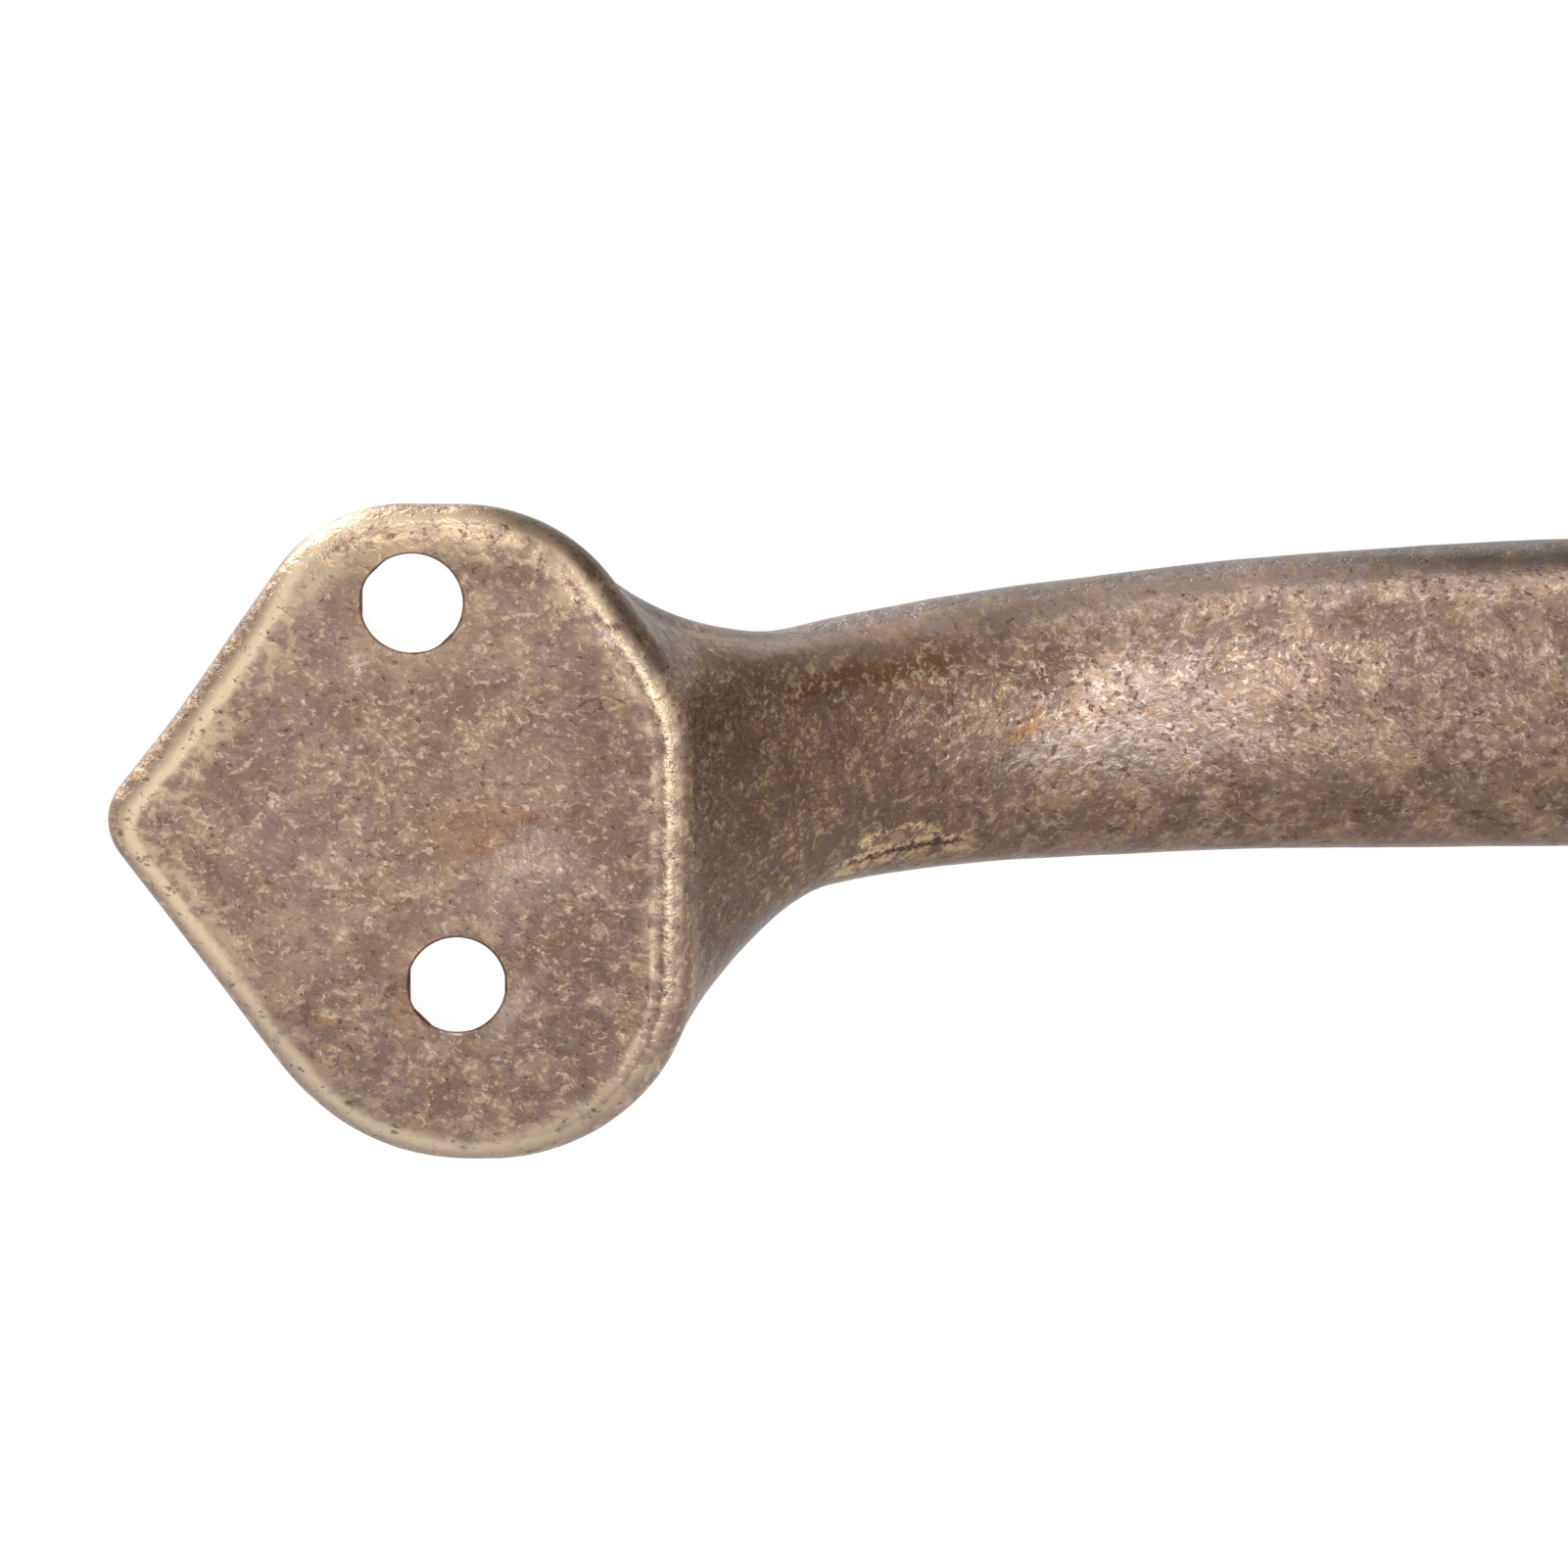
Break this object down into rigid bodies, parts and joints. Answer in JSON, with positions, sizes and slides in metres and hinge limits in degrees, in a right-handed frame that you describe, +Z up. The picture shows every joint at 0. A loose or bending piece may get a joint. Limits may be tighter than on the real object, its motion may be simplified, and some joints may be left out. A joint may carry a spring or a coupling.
{
  "type": "cabinet pull",
  "caption": "Cast bow pull: a curved grip whose ends flare into spade-shaped screw feet with flat backs, antique brass.",
  "frame": {"origin": "midway between the feet, on the plane of their flat backs, level with the middle line of the grip", "axes": "+X along the length, +Y out of the feet's flat backs into the furniture, +Z up; the grip stands out towards -Y"},
  "size_m": [0.127, 0.0254, 0.0274],
  "materials": {
    "aged_brass": "tumbled antique brass: dark brown patina rubbed to tan and bright metal on the rims and high spots"
  },
  "bodies": {
    "root": {"pull_casting": "aged_brass"}
  },
  "joints": []
}
